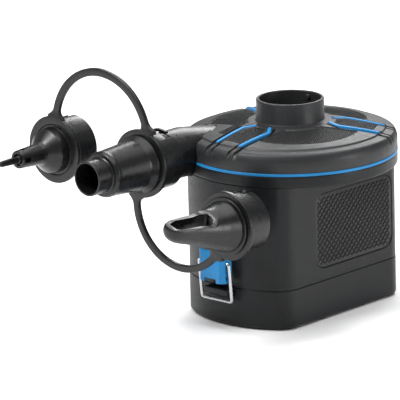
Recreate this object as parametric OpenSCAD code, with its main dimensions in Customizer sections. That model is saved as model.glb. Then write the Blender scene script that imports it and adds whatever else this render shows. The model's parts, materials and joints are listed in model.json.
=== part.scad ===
// Battery-powered air mattress pump with three tethered nozzles.
// Origin on the pump's axis at the underside of the battery cover.
// +Z is up, -Y is the latch side, the two grip flats face +X and -X.

/* [Body] */
// Radius of the round body and lid
body_r = 64; // [63:0.5:65]
// Half-width across the two grip flats
flat_x = 40.9; // [40.6:0.1:41.2]
// Radius that rounds each flat into the round sides
corner_r = 13; // [11:0.5:14]
// Thickness of the moulded walls
wall = 2.4; // [2.2:0.1:2.6]
// Height of the parting line between battery cover and housing
cover_top = 23.7; // [23.5:0.1:24]
// Height where the full-round shoulder starts above the flats
shoulder_z = 86.5; // [86:0.1:87]
// Height of the underside of the blue trim ring
trim_z = 93.6; // [93.4:0.1:93.8]
// Height of the trim ring
trim_h = 1.8; // [1.6:0.1:2]

/* [Lid] */
// Height of the lid at its outer crease
lid_edge_z = 107.4; // [107:0.1:108]
// Height of the dome where the collar rises from it
dome_z = 113.5; // [113:0.1:114]
// Outer radius of the intake collar
collar_r = 20.4; // [20.2:0.1:20.6]
// Bore radius of the intake collar
collar_bore = 18.5; // [18.4:0.1:18.6]
// Height of the collar's rim
collar_top = 126.5; // [126:0.1:127]

/* [Port and nozzles] */
// Sideways place of the outlet port's axis
port_x = -36.4; // [-36.8:0.1:-36]
// Height of the outlet port's axis
port_z = 98.8; // [98.6:0.1:99]
// Outer radius of the outlet tube
port_r = 15; // [14.9:0.05:15.1]
// Front end of the outlet tube
port_front = -88.5; // [-89:0.1:-88]
// Outer radius of the tube's front end, where a nozzle slides on
spigot_r = 14.5; // [14.4:0.05:14.6]
// Middle of the tether's plane, in front of the body
tether_y = -92; // [-92.5:0.1:-91.5]
// Half-thickness of the tether and its rings
tether_t = 1.4; // [1.3:0.05:1.5]
// Outer radius of each tether ring
ring_r = 20.6; // [20.4:0.1:20.8]
// Outer radius of each nozzle's skirt
skirt_r = 17.9; // [17.8:0.05:18]
// Inner radius of each nozzle's skirt
skirt_bore = 16.2; // [16.1:0.05:16.3]
// Rear end of each nozzle's skirt
skirt_back = -74; // [-74.5:0.1:-73.5]

/* [Latch] */
// Height of the lever's pivot pin
pivot_z = 31.4; // [31.3:0.05:31.5]
// Depth position of the lever's pivot pin
pivot_y = -70.6; // [-70.7:0.05:-70.5]
// Half-width of the lever over its side cheeks
lever_w = 10.2; // [10.1:0.05:10.3]
// Radius of the bail's spring wire
wire_r = 1; // [0.9:0.05:1.05]

/* [Power] */
// Radius of a size D cell
cell_r = 16.9; // [16.5:0.1:17]
// Height of a size D cell without its button
cell_h = 59.5; // [59:0.1:60]
// Radius of the motor's can
motor_r = 13.85; // [13.5:0.05:14]
// Radius of the motor's shaft
shaft_r = 1.15; // [1.1:0.01:1.2]
// Radius of the impeller
impeller_r = 34; // [33:0.5:35]

/* [Hidden] */
$fn = 64;

gap = 0.3;                       // clearance between separate mouldings
eps = 0.05;                      // seating clearance inside one body
dark = [0.17, 0.17, 0.18];
grey = [0.25, 0.25, 0.26];
blue = [0.12, 0.45, 0.75];
steel = [0.8, 0.8, 0.82];
brass_c = [0.78, 0.62, 0.3];

housing_bottom = cover_top + 0.1;
cover_rim = cover_top - 0.2;
lid_bottom = trim_z + trim_h + eps;
deck_z = 66.5;                   // underside of the deck over the cells
deck_t = 2.4;
cell_z = 5.2;                    // underside of the cells
cell_x = 20.3;
cell_y = 26;
motor_z = 46;                    // underside of the motor can
motor_top = 82;
plate_z = motor_top + eps;       // motor plate
volute_z = 89.2;                 // underside of the volute floor
volute_top = 104.6;
guard_z = 107;                   // underside of the intake guard
hinge_y = body_r - 0.4;          // rear hinge line of the battery cover
hinge_z = 23.65;
crease_r = body_r - 2.2;
// N1 pinch, N2 conical and N3 scoop nozzle axes, as [x, z]
pinch_at = [-107.8, 96.4];
conic_at = [port_x, port_z];
scoop_at = [31, 71.9];
lug_w = 4;
lug_r = 2.2;
root_y = -30;                    // inner end of the outlet tube
flare_y = -56;                   // where the tube starts to narrow
root_r = 11.2;
spigot_back = -73.4;             // rear end of the tube's front end
pin_y = -79.3;                   // bayonet pins on the tube
pin_a = 27;                      // their angle from the top
ring_bore = 15.9;
neck_r = ring_bore - gap;
cell_spots = [[cell_x, cell_y], [-cell_x, cell_y], [-cell_x, -cell_y], [cell_x, -cell_y]];
screw_spots = [[23.5, 50.5], [-23.5, 50.5], [25.5, -49.5], [-6, -54.5]];

// ---------- shared outlines ----------

// Points of an arc about c, from angle a0 to a1
function arc(c, r, a0, a1, n) = [for (i = [0 : n]) let (a = a0 + (a1 - a0) * i / n) c + r * [cos(a), sin(a)]];

function mirror_x(pts) = [for (i = [len(pts) - 1 : -1 : 0]) [-pts[i][0], pts[i][1]]];

// Round body with two flats and rounded corners, set in by d
module outline(d = 0) {
    rc = corner_r - d;
    cx = flat_x - corner_r;
    cy = sqrt(pow(body_r - corner_r, 2) - cx * cx);
    turn_a = atan2(cy, cx);
    corner = arc([cx, cy], rc, 0, turn_a, 6);
    front = arc([0, 0], body_r - d, turn_a + 3, 87, 6);
    half = concat(corner, front);
    upper = concat(half, mirror_x(half));
    polygon(concat(upper, [for (q = upper) -q]));
}

module slab(z0, z1, d = 0) {
    translate([0, 0, z0]) linear_extrude(z1 - z0) outline(d);
}

module disc(z0, z1, r) {
    translate([0, 0, z0]) cylinder(h = z1 - z0, r = r);
}

// Cylinder along +Y from y0 to y1 on the axis [x, z]
module along_y(at, y0, y1, r, r_end = undef) {
    translate([at[0], y0, at[1]]) rotate([-90, 0, 0])
        cylinder(h = y1 - y0, r1 = r, r2 = is_undef(r_end) ? r : r_end);
}

// Cylinder along +X from x0 to x1 at [y, z]
module along_x(at, x0, x1, r) {
    translate([x0, at[0], at[1]]) rotate([0, 90, 0]) cylinder(h = x1 - x0, r = r);
}

// Height of the dome's outer surface at radius r
function dome(r) = let (q = (r - collar_r) / (crease_r - collar_r))
    dome_z - (dome_z - lid_edge_z) * (0.55 * q + 0.45 * q * q);

// ---------- casings ----------

module main_housing() {
    color(dark) difference() {
        union() {
            difference() {
                union() {
                    slab(housing_bottom, shoulder_z + 0.5, 0.1);
                    disc(shoulder_z, trim_z, body_r);
                }
                slab(0, shoulder_z + wall + 0.5, wall);
                disc(shoulder_z + wall, trim_z + 1, body_r - wall + 0.1);
            }
            // lug that carries the lever
            along_x([pivot_y, pivot_z], -lug_w, lug_w, lug_r);
            translate([-lug_w, pivot_y, pivot_z - lug_r]) cube([2 * lug_w, 8, 2 * lug_r]);
        }
        // recesses for the grip panels
        for (s = [-1, 1]) grip_blank(s, flat_x - 1.2, flat_x + 1);
        port_envelope(gap);
        // switch window on the back
        translate([-6.2, body_r - 6, switch_z + 1.8]) cube([12.4, 12, 20.4]);
        // seat of the cover's hinge bead
        along_x([hinge_y, hinge_z], -8.4, 8.4, 1.2);
        // bore of the lug
        along_x([pivot_y, pivot_z], -5, 5, wire_r + 0.02);
    }
}

// Plate over the cells, with bosses that carry the lid's screws
module battery_deck() {
    color(dark) difference() {
        union() {
            slab(deck_z, deck_z + deck_t, wall + eps);
            for (p = screw_spots)
                translate([p[0], p[1], deck_z]) cylinder(h = lid_bottom - deck_z - eps, r = 3.4);
        }
        disc(deck_z - 1, deck_z + deck_t + 1, motor_r + gap);
        for (p = cell_spots) translate([p[0], p[1], deck_z - 1]) cylinder(h = 5, r = 4);
        for (p = screw_spots)
            translate([p[0], p[1], deck_z - 5]) cylinder(h = 40, r = 1.6);
    }
}

module grip_blank(s, x0, x1, inset = 0) {
    // rounded panel, 70 mm by 45 mm
    ya = -25 + inset;
    yb = 45 - inset;
    za = 31.5 + inset;
    zb = 77 - inset;
    r = 9 - inset;
    translate([s > 0 ? x0 : -x1, 0, 0]) rotate([90, 0, 90]) linear_extrude(x1 - x0) {
        translate([ya + r, za]) square([yb - ya - 2 * r, zb - za]);
        translate([ya, za + r]) square([yb - ya, zb - za - 2 * r]);
        for (y = [ya + r, yb - r], z = [za + r, zb - r]) translate([y, z]) circle(r);
    }
}

module grip_left() {
    color(grey) grip_blank(-1, flat_x - 1.15, flat_x - 0.1, 0.1);
}

module grip_right() {
    color(grey) grip_blank(1, flat_x - 1.15, flat_x - 0.1, 0.1);
}

// Section of the lid from the rim of the trim ring to the collar's root
module lid_section(d) {
    n = 8;
    top = [for (i = [0 : n]) let (r = crease_r + (collar_r - 2 - crease_r) * i / n)
        [r, dome(max(r, collar_r)) - d]];
    polygon(concat([[0, lid_bottom - (d > 0 ? 1 : 0)], [body_r - d, lid_bottom - (d > 0 ? 1 : 0)],
                    [body_r - d, lid_edge_z - 4.5], [body_r - 0.6 - d, lid_edge_z - 2 - d]],
                   top, [[0, dome_z - d]]));
}

module top_cover() {
    color(grey) difference() {
        union() {
            difference() {
                rotate_extrude() lid_section(0);
                rotate_extrude() lid_section(wall);
            }
            // tops of the screw bosses
            intersection() {
                rotate_extrude() lid_section(wall - 0.2);
                for (p = screw_spots)
                    translate([p[0], p[1], lid_bottom]) cylinder(h = 20, r = 3.4);
            }
        }
        disc(dome_z - 10, collar_top + 1, collar_r - 0.4 + eps);
        for (a = [0, 120, -120]) rotate(a) accent_shape(0.15, 2);
        port_envelope(gap);
        for (p = screw_spots)
            translate([p[0], p[1], lid_bottom - 1]) cylinder(h = 7.5, r = 1.45);
    }
}

// Collar with a flange under the lid and two bayonet pins inside its rim
module intake_collar() {
    flange_z = dome_z - wall - 2;
    color(grey) difference() {
        union() {
            disc(guard_z, dome_z + 1, collar_r - 0.4);
            disc(dome_z + 0.5, collar_top, collar_r);
            disc(flange_z, flange_z + 1.4, collar_r + 2.6);
        }
        disc(guard_z - 1, collar_top + 1, collar_bore);
    }
    color(grey) for (a = [5, 185]) rotate(a)
        translate([0, collar_bore + 0.6, collar_top - 3.4]) rotate([90, 0, 0]) cylinder(h = 2.1, r = 1.6);
}

module trim_ring() {
    color(blue) difference() {
        disc(trim_z + eps, trim_z + trim_h, body_r + 0.2);
        disc(trim_z - 1, trim_z + trim_h + 1, body_r - wall - 0.6);
        port_envelope(gap);
    }
}

// Two raised bars on one spoke of the lid, pointing to -Y
module bar_plan(g) {
    for (s = [-1, 1]) {
        polygon([[s * (7.6 - g), -56.8 - g], [s * (9.8 + g), -56.4 - g], [s * (11.6 + g), -30.6],
                 [s * (6.2 + g), -23.4 + g], [s * (4.6 - g), -24.8 + g], [s * (9.3 - g), -31.2]]);
    }
}

module accent_shape(g, deep) {
    intersection() {
        translate([0, 0, 100]) linear_extrude(20) bar_plan(g);
        translate([0, 0, g > 0 ? 3 : 0.5]) difference() {
            rotate_extrude() lid_section(0);
            translate([0, 0, -deep - (g > 0 ? 2.7 : 0)]) rotate_extrude() lid_section(0);
        }
    }
}

module accent(a) {
    color(blue) rotate(a) accent_shape(0, 1.8);
}

module accent_front() { accent(0); }
module accent_right() { accent(120); }
module accent_left() { accent(-120); }

// Round grille across the root of the collar
module intake_guard() {
    z = guard_z;
    color(dark) {
        for (r = [5 : 4.4 : 18.2]) difference() {
            disc(z, z + 2, r);
            disc(z - 1, z + 3, r - 1.6);
        }
        difference() {
            for (a = [0 : 60 : 120]) rotate(a) translate([-18, -0.8, z]) cube([36, 1.6, 2]);
            disc(z - 1, z + 3, 4);
        }
        disc(z, z + 2, 4.5);
    }
}

// ---------- outlet port and fan ----------

// Space that the outlet tube takes where it passes through the casings
module port_envelope(g) {
    along_y(conic_at, -72, flare_y, port_r + g);
    along_y(conic_at, flare_y, root_y + 1, port_r + g, root_r + g);
}

module outlet_tube() {
    color(dark) difference() {
        union() {
            along_y(conic_at, port_front, spigot_back + 1, spigot_r);
            along_y(conic_at, spigot_back, flare_y, port_r);
            along_y(conic_at, flare_y, root_y, port_r, root_r);
        }
        along_y(conic_at, port_front - 1, flare_y, port_r - 2);
        along_y(conic_at, flare_y - 0.01, root_y + 1, port_r - 2, root_r - 2);
    }
}

// Two bayonet pins on the front end of the outlet tube
module tube_pins() {
    color(dark) difference() {
        translate([port_x, pin_y, port_z]) for (a = [pin_a, pin_a + 180]) rotate([0, a, 0])
            translate([0, 0, spigot_r - 1.5]) cylinder(h = 4.2, r = 1.9);
        along_y(conic_at, port_front, spigot_back, spigot_r + 0.02);
    }
}

volute_x = -4;
volute_r = 47.4;

module volute_plan(d) {
    translate([volute_x, 0]) circle(volute_r - d);
    translate([volute_x - volute_r + d, root_y + 0.4 + d]) square([30 - 2 * d, -root_y - d]);
}

module volute() {
    color(dark) difference() {
        intersection() {
            translate([0, 0, volute_z]) linear_extrude(volute_top - volute_z) volute_plan(0);
            disc(volute_z, volute_top, body_r - wall - 0.6);
        }
        intersection() {
            translate([0, 0, volute_z + 2]) linear_extrude(volute_top) volute_plan(2);
            disc(volute_z, volute_top + 5, body_r - wall - 2.6);
        }
        disc(volute_z - 1, volute_z + 3, 5);
        along_y(conic_at, root_y - 3, root_y + 5, root_r - 2);
        port_envelope(gap);
    }
}

module fan_cover() {
    color(grey) difference() {
        translate([0, 0, volute_top + eps]) linear_extrude(1.7) translate([volute_x, 0]) circle(volute_r);
        disc(volute_top - 1, volute_top + 4, 16.5);
        port_envelope(gap);
    }
}

// One curved blade between the hub and the rim
module blade_plan() {
    intersection() {
        difference() {
            translate([16, 16]) circle(18);
            translate([16, 16]) circle(16.6);
        }
        difference() {
            circle(impeller_r - 0.5);
            circle(8);
        }
        polygon([[0, 0], [60, 60], [60, -60], [0, -60]]);
    }
}

// Backward-curved centrifugal wheel
module impeller() {
    z = volute_z + 2.8;
    blade_h = volute_top - z - 1.9;
    color(dark) difference() {
        union() {
            disc(z, z + 1.6, impeller_r);
            disc(z, z + 12, 4.6);
            for (a = [0 : 40 : 320]) rotate(a) translate([0, 0, z + 1.5]) linear_extrude(blade_h) blade_plan();
        }
        disc(z - 1, z + 14, shaft_r);
    }
}

// ---------- motor ----------

module motor_plate() {
    color(grey) {
        difference() {
            disc(plate_z, plate_z + 2, 27);
            disc(plate_z - 1, plate_z + 3, 3.6);
            for (s = [-1, 1]) translate([s * 8, 0, plate_z - 1]) cylinder(h = 4, r = 1.3);
        }
        // posts down to the deck
        for (a = [45 : 90 : 315]) rotate(a) translate([23, 0, deck_z + deck_t + eps])
            cylinder(h = plate_z - deck_z - deck_t - eps, r = 2.6);
    }
}

module motor_can() {
    color(steel) difference() {
        disc(motor_z, motor_top, motor_r);
        disc(motor_z - 1, motor_top - 1.2, motor_r - 1);
        disc(motor_z, motor_top + 1, 3.04);
        for (s = [-1, 1]) translate([s * 8, 0, motor_top - 3]) cylinder(h = 5, r = 1.05);
    }
}

module motor_end_cap() {
    color(dark) difference() {
        union() {
            disc(motor_z - 2, motor_z, motor_r - 0.4);
            disc(motor_z, motor_z + 2, motor_r - 1 - eps);
        }
        disc(motor_z - 3, motor_z + 3, 3.04);
        for (s = [-1, 1]) translate([s * 9 - 0.5, -2, motor_z - 3]) cube([1, 4, 6]);
    }
}

module motor_magnets() {
    color([0.35, 0.35, 0.37]) difference() {
        disc(motor_z + 5, motor_top - 5, motor_r - 1 - eps);
        disc(motor_z + 4, motor_top - 4, motor_r - 3.4);
        for (s = [-1, 1]) translate([-20, s > 0 ? 5 : -25, motor_z]) cube([40, 20, 50]);
    }
}

module motor_bushes() {
    color(brass_c) for (z = [motor_z - 2, motor_top - 2.4]) difference() {
        disc(z, z + 3, 3);
        disc(z - 1, z + 4, shaft_r + 0.04);
    }
}

module motor_terminals() {
    color(brass_c) for (s = [-1, 1])
        translate([s * 9 - 0.4, -1.9, motor_z - 6]) cube([0.8, 3.8, 9]);
}

module motor_screws() {
    color(steel) for (s = [-1, 1]) translate([s * 8, 0, 0]) {
        disc(motor_top - 2, plate_z + 2, 1);
        disc(plate_z + 2, plate_z + 3.4, 2.2);
    }
}

module motor_shaft() {
    color(steel) disc(motor_z - 3, volute_z + 15, shaft_r);
}

module armature() {
    h = motor_top - motor_z - 20;
    color([0.5, 0.5, 0.52]) translate([0, 0, motor_z + 12]) linear_extrude(h) difference() {
        union() {
            circle(3.4);
            for (a = [0, 120, 240]) rotate(a) {
                translate([2, -1.6]) square([6.6, 3.2]);
                polygon(concat(arc([0, 0], 9.8, -44, 44, 8), arc([0, 0], 7.9, 44, -44, 8)));
            }
        }
        circle(shaft_r);
    }
}

module commutator() {
    color(brass_c) difference() {
        disc(motor_z + 4, motor_z + 11.5, 3);
        disc(motor_z, motor_top, shaft_r);
    }
}

// Screws that hold the lid down
module lid_screws() {
    color(steel) for (p = screw_spots) translate([p[0], p[1], 0]) {
        disc(deck_z - 1, lid_bottom + 6, 1.4);
        disc(deck_z - 1.8, deck_z - 0.1, 2.8);
    }
}

// ---------- batteries and wiring ----------

module cell(p, up) {
    z = cell_z;
    translate([p[0], p[1], 0]) {
        color(blue) disc(z, z + cell_h, cell_r);
        color(steel) disc(up ? z + cell_h : z - 1.3, up ? z + cell_h + 1.3 : z, 4.6);
    }
}

module cell_1() { cell(cell_spots[0], true); }
module cell_2() { cell(cell_spots[1], false); }
module cell_3() { cell(cell_spots[2], true); }
module cell_4() { cell(cell_spots[3], false); }

// Moulded sleeve frame that keeps the cells apart
module battery_cradle() {
    color(grey) difference() {
        intersection() {
            slab(26, 46, wall + 0.2);
            translate([-50, -48, 26]) cube([100, 96, 20]);
        }
        for (p = cell_spots) translate([p[0], p[1], 20]) cylinder(h = 40, r = cell_r + gap);
        disc(20, 60, motor_r + gap);
        translate([-7, -60, 20]) cube([14, 120, 40]);
    }
}

// Spring plates under the deck
module top_contacts() {
    z = deck_z - 0.45;
    color(steel) for (p = cell_spots) translate([p[0], p[1], 0]) difference() {
        union() {
            translate([-7, -7, z]) cube([14, 14, 0.4]);
            disc(z, deck_z + 3.4, 1.6);
        }
        disc(deck_z + 1.4, deck_z + 4, 0.7);
    }
}

// Strips on the cover's floor, joining the cells in pairs
module cover_contacts() {
    color(steel) for (s = [-1, 1])
        translate([s * cell_x - 7, -33, wall + eps]) cube([14, 66, 0.5]);
}

// Conical springs drawn as stacked turns, one turn only where a cell stands on its button
module contact_springs() {
    color(steel) for (p = cell_spots) translate([p[0], p[1], wall + 0.5 + 2 * eps])
        for (i = [0 : p[0] * p[1] > 0 ? 1 : 0]) translate([0, 0, 0.45 + i * 0.8])
            rotate_extrude() translate([6 - 1.4 * i, 0]) circle(0.4, $fn = 16);
}

// Leads from the motor's terminals to the switch, clipped along the centre gap
module lead_path(x, c) {
    z = motor_z - 9;
    r = 0.9;
    s = x > 0 ? 1 : -1;
    color(c) {
        translate([s * 9, 0, z]) cylinder(h = 3 - 2 * eps, r = r);
        translate([s * 9, 0, z]) sphere(r);
        translate([0, 0, z]) rotate([0, 90, 0]) translate([0, 0, s > 0 ? 2.2 : -9]) cylinder(h = 6.8, r = r);
        translate([s * 2.2, 0, z]) sphere(r);
        translate([s * 2.2, 0, z]) rotate([-90, 0, 0]) cylinder(h = 54, r = r);
        translate([s * 2.2, 54, z]) sphere(r);
        translate([s * 2.2, 54, z]) cylinder(h = switch_z - terminal_h - z - eps, r = r);
    }
}

module lead_red() { lead_path(2.2, [0.7, 0.1, 0.1]); }
module lead_black() { lead_path(-2.2, dark); }

// ---------- switch ----------

switch_y = body_r - 3;
switch_z = 42;
terminal_h = 3;

module switch_body() {
    color(dark) difference() {
        translate([-9, switch_y - 9, switch_z]) cube([18, 8.6, 24]);
        translate([-7, switch_y - 7.4, switch_z + 2]) cube([14, 8, 20]);
    }
}

module switch_terminals() {
    color(brass_c) for (s = [-1, 1])
        translate([s * 2.2 - 0.6, 53.7, switch_z - terminal_h]) cube([1.2, 0.6, terminal_h - eps]);
}

// Slide knob, off at the bottom of its travel
module switch_knob() {
    color(blue) {
        translate([-5.4, switch_y - 6.6, switch_z + 3]) cube([10.8, 3.4, 12]);
        translate([-4, switch_y - 3.4, switch_z + 5]) cube([8, 7.6, 8]);
    }
}

// ---------- battery cover and latch ----------

module battery_cover() {
    color(dark) difference() {
        union() {
            slab(2, cover_rim);
            slab(0, 2, 1.6);
            slab(1, 2, 0.6);
            // hinge bead on the rear rim
            along_x([hinge_y, hinge_z], -8, 8, 0.9);
        }
        slab(wall, cover_rim + 1, wall);
    }
}

// Hooked catch on the front of the cover
module cover_catch() {
    z0 = 18.2;
    yf = -69.6;
    bev = 2.5;
    color(dark) difference() {
        translate([9.4, 0, 0]) rotate([0, -90, 0]) linear_extrude(18.8)
            polygon([[z0, -62], [z0, yf + 0.8 * bev], [z0 + bev, yf], [cover_rim, yf], [cover_rim, -62]]);
        slab(-1, 60, -eps);
    }
}

module latch_pin() {
    color(steel) along_x([pivot_y, pivot_z], -9.6, 9.6, wire_r);
}

bail_y = -70.4;
bail_z = 40.3;
bail_x = 11.9;
hook_y = -68.2;
hook_z = 16.4;

module latch_lever() {
    back = pivot_y + 4.6;
    front = pivot_y - 3.6;
    color(blue) difference() {
        translate([0, 0, pivot_z - 3.2]) linear_extrude(19.2) difference() {
            polygon([[-lever_w, back], [-lever_w, pivot_y - 1], [-7.4, front],
                     [7.4, front], [lever_w, pivot_y - 1], [lever_w, back]]);
            polygon([[-8, back + 1], [-8, pivot_y - 1], [-6.2, front + 1.2],
                     [6.2, front + 1.2], [8, pivot_y - 1], [8, back + 1]]);
        }
        // notch over the lug
        translate([-4.6, front - 1, pivot_z - 4]) cube([9.2, 4, 3.2]);
        along_x([pivot_y, pivot_z], -20, 20, wire_r + 0.05);
        along_x([bail_y, bail_z], -20, 20, wire_r + 0.05);
        // sloping top edge
        translate([-20, pivot_y + 4.6, pivot_z + 9]) rotate([38, 0, 0]) cube([40, 20, 20]);
    }
}

module latch_bail() {
    dy = hook_y - bail_y;
    dz = hook_z - bail_z;
    len = sqrt(dy * dy + dz * dz);
    color(steel) {
        for (s = [-1, 1]) {
            along_x([bail_y, bail_z], s > 0 ? 8.4 : -bail_x, s > 0 ? bail_x : -8.4, wire_r);
            translate([s * bail_x, bail_y, bail_z]) sphere(wire_r);
            translate([s * bail_x, bail_y, bail_z]) rotate([atan2(-dy, dz), 0, 0]) cylinder(h = len, r = wire_r);
            translate([s * bail_x, hook_y, hook_z]) sphere(wire_r);
        }
        along_x([hook_y, hook_z], -bail_x, bail_x, wire_r);
    }
}

// ---------- tether and nozzles ----------

// Extrude an outline drawn in X and Z from y0 to y1
module plate_y(y0, y1) {
    translate([0, y1, 0]) rotate([90, 0, 0]) linear_extrude(y1 - y0) children();
}

// Flat arc strap from angle a0 to a1
module strap(centre, r, w, a0, a1) {
    n = 8;
    translate(centre) intersection() {
        difference() {
            circle(r + w / 2);
            circle(r - w / 2);
        }
        polygon(concat([[0, 0]], [for (i = [0 : n]) let (a = a0 + (a1 - a0) * i / n)
            2 * r * [cos(a), sin(a)]]));
    }
}

module tether() {
    color(dark) plate_y(tether_y - tether_t, tether_y + tether_t) difference() {
        union() {
            strap([-68.4, 111.6], 37.8, 4.8, 8, 173);
            strap([-5.4, 75.4], 35.4, 4.4, 172, 324);
            for (p = [pinch_at, conic_at, scoop_at]) translate(p) circle(ring_r);
        }
        for (p = [pinch_at, conic_at, scoop_at]) translate(p) circle(ring_bore);
    }
}

// Solid of revolution about a nozzle's axis, outline given as [radius, y]
module turn(at, outline_points) {
    translate([at[0], 0, at[1]]) rotate([-90, 0, 0]) rotate_extrude() polygon(outline_points);
}

ring_front = tether_y - tether_t - 0.2;
ring_back = tether_y + tether_t + 0.2;
stop_y = -89;                    // floor of each nozzle's socket

// Outline from the bead in front of the ring, over the neck and skirt, to the socket's floor
function collar_profile(bore) = [[17.4, ring_front - 1.4], [17.4, ring_front], [neck_r, ring_front],
    [neck_r, ring_back], [skirt_r, ring_back], [skirt_r, skirt_back], [skirt_bore, skirt_back],
    [skirt_bore, stop_y], [bore, stop_y]];

// L-shaped bayonet slots through the skirt, turned about the nozzle's axis
module bayonet_slots(at, turned = 0) {
    translate([at[0], 0, at[1]]) for (b = [0, 180]) rotate([0, b + turned, 0]) {
        rotate([0, pin_a, 0]) translate([-2.5, pin_y - 2.4, 12]) cube([5, 12, 8]);
        plate_y(pin_y - 2.5, pin_y + 2.5)
            polygon(concat(arc([0, 0], 24, 90 - pin_a - 9, 90 - pin_a + 47, 8),
                           arc([0, 0], 12, 90 - pin_a + 47, 90 - pin_a - 9, 8)));
    }
}

tip_front = -138.2;
tip_back = -126.3;

// Stepped cone with its neck through the tether's ring and the floor of its socket
module nozzle_conical() {
    floor_r = skirt_bore - eps;
    color(dark) turn(conic_at, [[9.2, tip_front], [10.4, tip_front], [10.4, tip_back], [13.6, tip_back + 1.8],
        [15.4, -99], [17.4, ring_front - 1.4], [17.4, ring_front], [neck_r, ring_front], [neck_r, ring_back],
        [floor_r, ring_back], [floor_r, stop_y], [13, stop_y], [12.8, -99], [11.8, tip_back + 2.4],
        [9.2, tip_back]]);
}

jaw_y = pin_y - 2.5;             // where the plain ring of the sleeve ends and its slots begin

// Front ring of the sleeve that slides on the outlet tube
module conical_sleeve() {
    color(dark) turn(conic_at, [[skirt_bore, ring_back], [skirt_r, ring_back], [skirt_r, jaw_y],
        [skirt_bore, jaw_y]]);
}

// Slotted rear half of the sleeve, which locks on the tube's pins
module sleeve_jaws() {
    color(dark) difference() {
        turn(conic_at, [[skirt_bore, jaw_y + eps], [skirt_r, jaw_y + eps], [skirt_r, skirt_back],
            [skirt_bore, skirt_back]]);
        bayonet_slots(conic_at);
    }
}

module nozzle_pinch() {
    color(dark) difference() {
        turn(pinch_at, concat([[3.6, -124], [5.5, -123.4], [6.5, -108], [7.4, -105], [12.6, -98.4], [14.6, -95.2]],
                              collar_profile(10), [[10, -97], [3.6, -106]]));
        bayonet_slots(pinch_at, -38);
        translate([pinch_at[0], -119, pinch_at[1]]) rotate([0, 90, 0]) cylinder(h = 20, r = 1.3, center = true);
    }
}

// Flat push-pin that holds a check valve open
module pinch_tongue() {
    color(dark) translate([pinch_at[0], 0, pinch_at[1]]) {
        rotate([-90, 0, 0]) translate([0, 0, -122]) cylinder(h = 8, r = 3.55);
        translate([-1.2, -139, -2]) cube([2.4, 19, 4]);
    }
}

// Stations of the scoop: y, lift of the centre, radius
scoop_rows = [[ring_front - 1.3, 0, 15.6], [-108, 1.2, 12], [-124, 4.6, 8.6], [-138, 6.6, 7.4], [-145, 7.4, 4]];

scoop_tilt = 22;

module scoop_disc(row, d) {
    translate([scoop_at[0], row[0], scoop_at[1] + row[1]]) rotate([-90, 0, 0])
        cylinder(h = 0.2, r = row[2] - d, $fn = 32);
}

module nozzle_scoop() {
    color(dark) difference() {
        union() {
            turn(scoop_at, concat([[12.4, ring_front - 1.9], [15, ring_front - 1.9]], collar_profile(12.4)));
            for (i = [0 : 3]) hull() {
                scoop_disc(scoop_rows[i], 0);
                scoop_disc(scoop_rows[i + 1], 0);
            }
        }
        for (i = [0 : 2]) hull() {
            scoop_disc(scoop_rows[i] + [i == 0 ? 2 : 0, 0, 0], 1.8 + (i == 0 ? 1.4 : 0));
            scoop_disc(scoop_rows[i + 1] - [0, i == 2 ? 0.6 : 0, 0], 1.8);
        }
        bayonet_slots(scoop_at, -22);
        // mouth on the upper side, turned a little towards +X
        translate([scoop_at[0], 0, scoop_at[1]]) rotate([0, scoop_tilt, 0]) rotate([90, 0, 90])
            linear_extrude(40, center = true)
                polygon([[-104, 17], [-112.5, 8.6], [-150, 9.8], [-150, 32], [-104, 32]]);
    }
}

main_housing();
battery_deck();
top_cover();
intake_collar();
trim_ring();
accent_front();
accent_right();
accent_left();
intake_guard();
outlet_tube();
tube_pins();
volute();
fan_cover();
motor_plate();
motor_can();
motor_end_cap();
motor_magnets();
motor_bushes();
motor_terminals();
motor_screws();
lid_screws();
battery_cradle();
cell_1();
cell_2();
cell_3();
cell_4();
top_contacts();
switch_body();
switch_terminals();
lead_red();
lead_black();
grip_left();
grip_right();
latch_pin();
battery_cover();
cover_catch();
cover_contacts();
contact_springs();
latch_lever();
latch_bail();
impeller();
motor_shaft();
armature();
commutator();
switch_knob();
tether();
nozzle_conical();
conical_sleeve();
sleeve_jaws();
nozzle_pinch();
nozzle_scoop();
pinch_tongue();
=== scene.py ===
import json
import math

import bmesh
import bpy
from mathutils import Matrix, Vector


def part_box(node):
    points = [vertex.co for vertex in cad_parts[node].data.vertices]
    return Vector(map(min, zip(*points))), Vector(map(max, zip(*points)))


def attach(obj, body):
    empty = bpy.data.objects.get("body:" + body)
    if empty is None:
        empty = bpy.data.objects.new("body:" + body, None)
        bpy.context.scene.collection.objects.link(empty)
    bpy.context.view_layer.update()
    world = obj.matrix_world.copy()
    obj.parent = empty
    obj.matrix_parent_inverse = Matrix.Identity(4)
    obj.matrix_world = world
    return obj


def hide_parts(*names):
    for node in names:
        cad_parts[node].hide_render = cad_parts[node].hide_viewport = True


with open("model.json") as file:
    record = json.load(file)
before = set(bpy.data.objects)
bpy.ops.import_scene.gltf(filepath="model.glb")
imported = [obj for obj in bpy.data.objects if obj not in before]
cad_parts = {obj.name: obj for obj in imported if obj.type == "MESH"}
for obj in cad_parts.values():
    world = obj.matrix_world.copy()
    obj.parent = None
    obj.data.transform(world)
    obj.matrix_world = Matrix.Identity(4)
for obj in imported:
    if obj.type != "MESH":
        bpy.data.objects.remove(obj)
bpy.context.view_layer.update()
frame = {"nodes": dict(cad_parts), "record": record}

MM = 0.001
TURN = 2 * math.pi


# ---------- places and sizes in millimetres, partly read from the imported nodes ---

def span(node):
    low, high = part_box(node)
    return [v / MM for v in low], [v / MM for v in high]


def middle(node, axis):
    low, high = span(node)
    return round((low[axis] + high[axis]) / 2, 1)


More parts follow.
